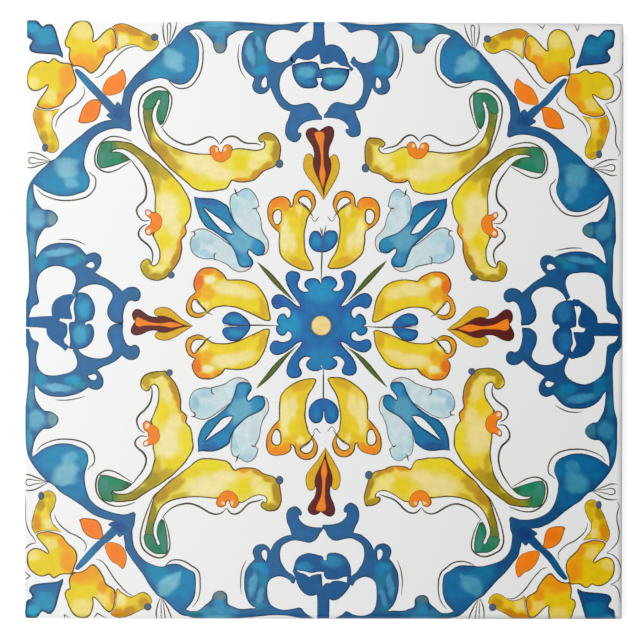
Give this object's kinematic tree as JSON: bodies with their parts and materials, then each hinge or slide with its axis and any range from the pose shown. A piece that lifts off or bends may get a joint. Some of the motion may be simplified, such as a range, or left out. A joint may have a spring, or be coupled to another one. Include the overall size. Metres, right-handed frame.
{
  "type": "glazed ceramic wall tile",
  "caption": "Square glazed ceramic wall tile with a cushioned edge, a keyed back and a painted majolica-style scroll ornament.",
  "frame": {"origin": "centre of the bedding plane, which the ribs of the back rest on", "axes": "+Z out of the glazed face, +Y towards the top of the ornament as it hangs on a wall, +X to its right"},
  "size_m": [0.1524, 0.1524, 0.0063],
  "materials": {
    "glazed_body": "gloss"
  },
  "bodies": {
    "root": {"tile": "glazed_body"}
  },
  "joints": []
}
